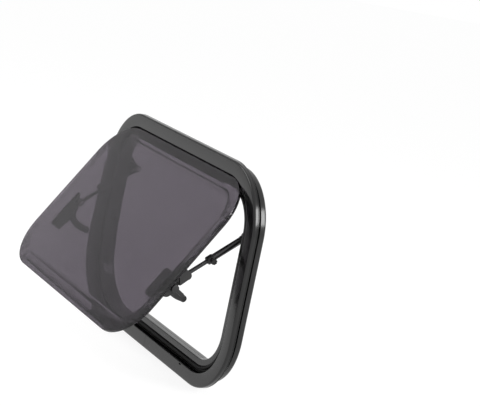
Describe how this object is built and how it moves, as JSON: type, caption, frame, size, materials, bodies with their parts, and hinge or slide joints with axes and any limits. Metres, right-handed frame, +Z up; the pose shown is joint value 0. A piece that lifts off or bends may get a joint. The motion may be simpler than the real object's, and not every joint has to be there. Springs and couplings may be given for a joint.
{
  "type": "caravan window",
  "caption": "Top-hung caravan window with a bent aluminium frame, clamp ring, tinted double acrylic pane, telescopic stays and lever latches.",
  "frame": {"origin": "on the back of the flange where it seats on the wall, halfway along the bottom of the frame, 8.5 mm above the flange's lower rim", "axes": "+X to the right as seen from outside, +Y through the wall towards the inside, +Z up"},
  "size_m": [0.53, 0.2035, 0.36],
  "materials": {
    "frame_black": "satin powder coat on bent aluminium",
    "ring_black": "satin powder coat on bent aluminium",
    "seal_rubber": "matt extruded rubber",
    "pane_tint": "clear gloss acrylic with a grey tint",
    "fitting_black": "fine-grained moulded plastic",
    "fitting_metal": "plated steel",
    "tube_black": "black anodised aluminium tube",
    "rod_metal": "black anodised aluminium rod",
    "knob_black": "moulded grip",
    "lever_black": "moulded lever, worn slightly shiny"
  },
  "bodies": {
    "frame": {"outer_frame": "frame_black", "clamp_ring": "ring_black", "window_seal": "seal_rubber", "hinge_channel": "frame_black", "keeper_left": "fitting_black", "keeper_right": "fitting_black", "stay_bracket_left": "fitting_black", "stay_bracket_right": "fitting_black", "stay_pin_left": "fitting_metal", "stay_pin_right": "fitting_metal"},
    "flap": {"outer_pane": "pane_tint", "inner_pane": "pane_tint", "hinge_leaf": "frame_black", "latch_base_left": "fitting_black", "latch_base_right": "fitting_black", "latch_body_left": "fitting_black", "latch_body_right": "fitting_black", "stay_lug_left": "fitting_black", "stay_lug_right": "fitting_black"},
    "stay_left": {"stay_head_left": "fitting_black", "stay_tube_left": "tube_black", "stay_collar_left": "fitting_black", "stay_knob_left": "knob_black"},
    "rod_left": {"stay_rod_left": "rod_metal", "stay_eye_left": "fitting_black"},
    "lever_left": {"latch_lever_left": "lever_black", "latch_spindle_left": "fitting_black", "latch_hook_left": "fitting_black"},
    "stay_right": {"stay_head_right": "fitting_black", "stay_tube_right": "tube_black", "stay_collar_right": "fitting_black", "stay_knob_right": "knob_black"},
    "rod_right": {"stay_rod_right": "rod_metal", "stay_eye_right": "fitting_black"},
    "lever_right": {"latch_lever_right": "lever_black", "latch_spindle_right": "fitting_black", "latch_hook_right": "fitting_black"}
  },
  "joints": [
    {"name": "flap_hinge", "type": "hinge", "parent": "frame", "child": "flap", "pos_m": [0, -0.0005, 0.321], "axis": [-1, 0, 0], "range_deg": [-34.3, 6]},
    {"name": "stay_swing_left", "type": "hinge", "parent": "frame", "child": "stay_left", "pos_m": [-0.201, 0.019, 0.2425], "axis": [-1, 0, 0], "range_deg": [-57, 11]},
    {"name": "stay_slide_left", "type": "slide", "parent": "stay_left", "child": "rod_left", "axis": [0, -0.8084, -0.5886], "range_m": [-0.0315, 0.007]},
    {"name": "latch_turn_left", "type": "hinge", "parent": "flap", "child": "lever_left", "pos_m": [-0.201, -0.09058, 0.1579], "axis": [-1, 0, 0], "range_deg": [-90, 0]},
    {"name": "stay_swing_right", "type": "hinge", "parent": "frame", "child": "stay_right", "pos_m": [0.201, 0.019, 0.2425], "axis": [-1, 0, 0], "range_deg": [-57, 11]},
    {"name": "stay_slide_right", "type": "slide", "parent": "stay_right", "child": "rod_right", "axis": [0, -0.8084, -0.5886], "range_m": [-0.0315, 0.007]},
    {"name": "latch_turn_right", "type": "hinge", "parent": "flap", "child": "lever_right", "pos_m": [0.201, -0.09058, 0.1579], "axis": [-1, 0, 0], "range_deg": [-90, 0]}
  ],
  "couplings": [
    {"joint": "stay_swing_left", "follows": "flap_hinge", "ratio": 1.6457},
    {"joint": "stay_slide_left", "follows": "flap_hinge", "m_per_rad": 0.05183},
    {"joint": "stay_swing_right", "follows": "flap_hinge", "ratio": 1.6457},
    {"joint": "stay_slide_right", "follows": "flap_hinge", "m_per_rad": 0.05183}
  ]
}
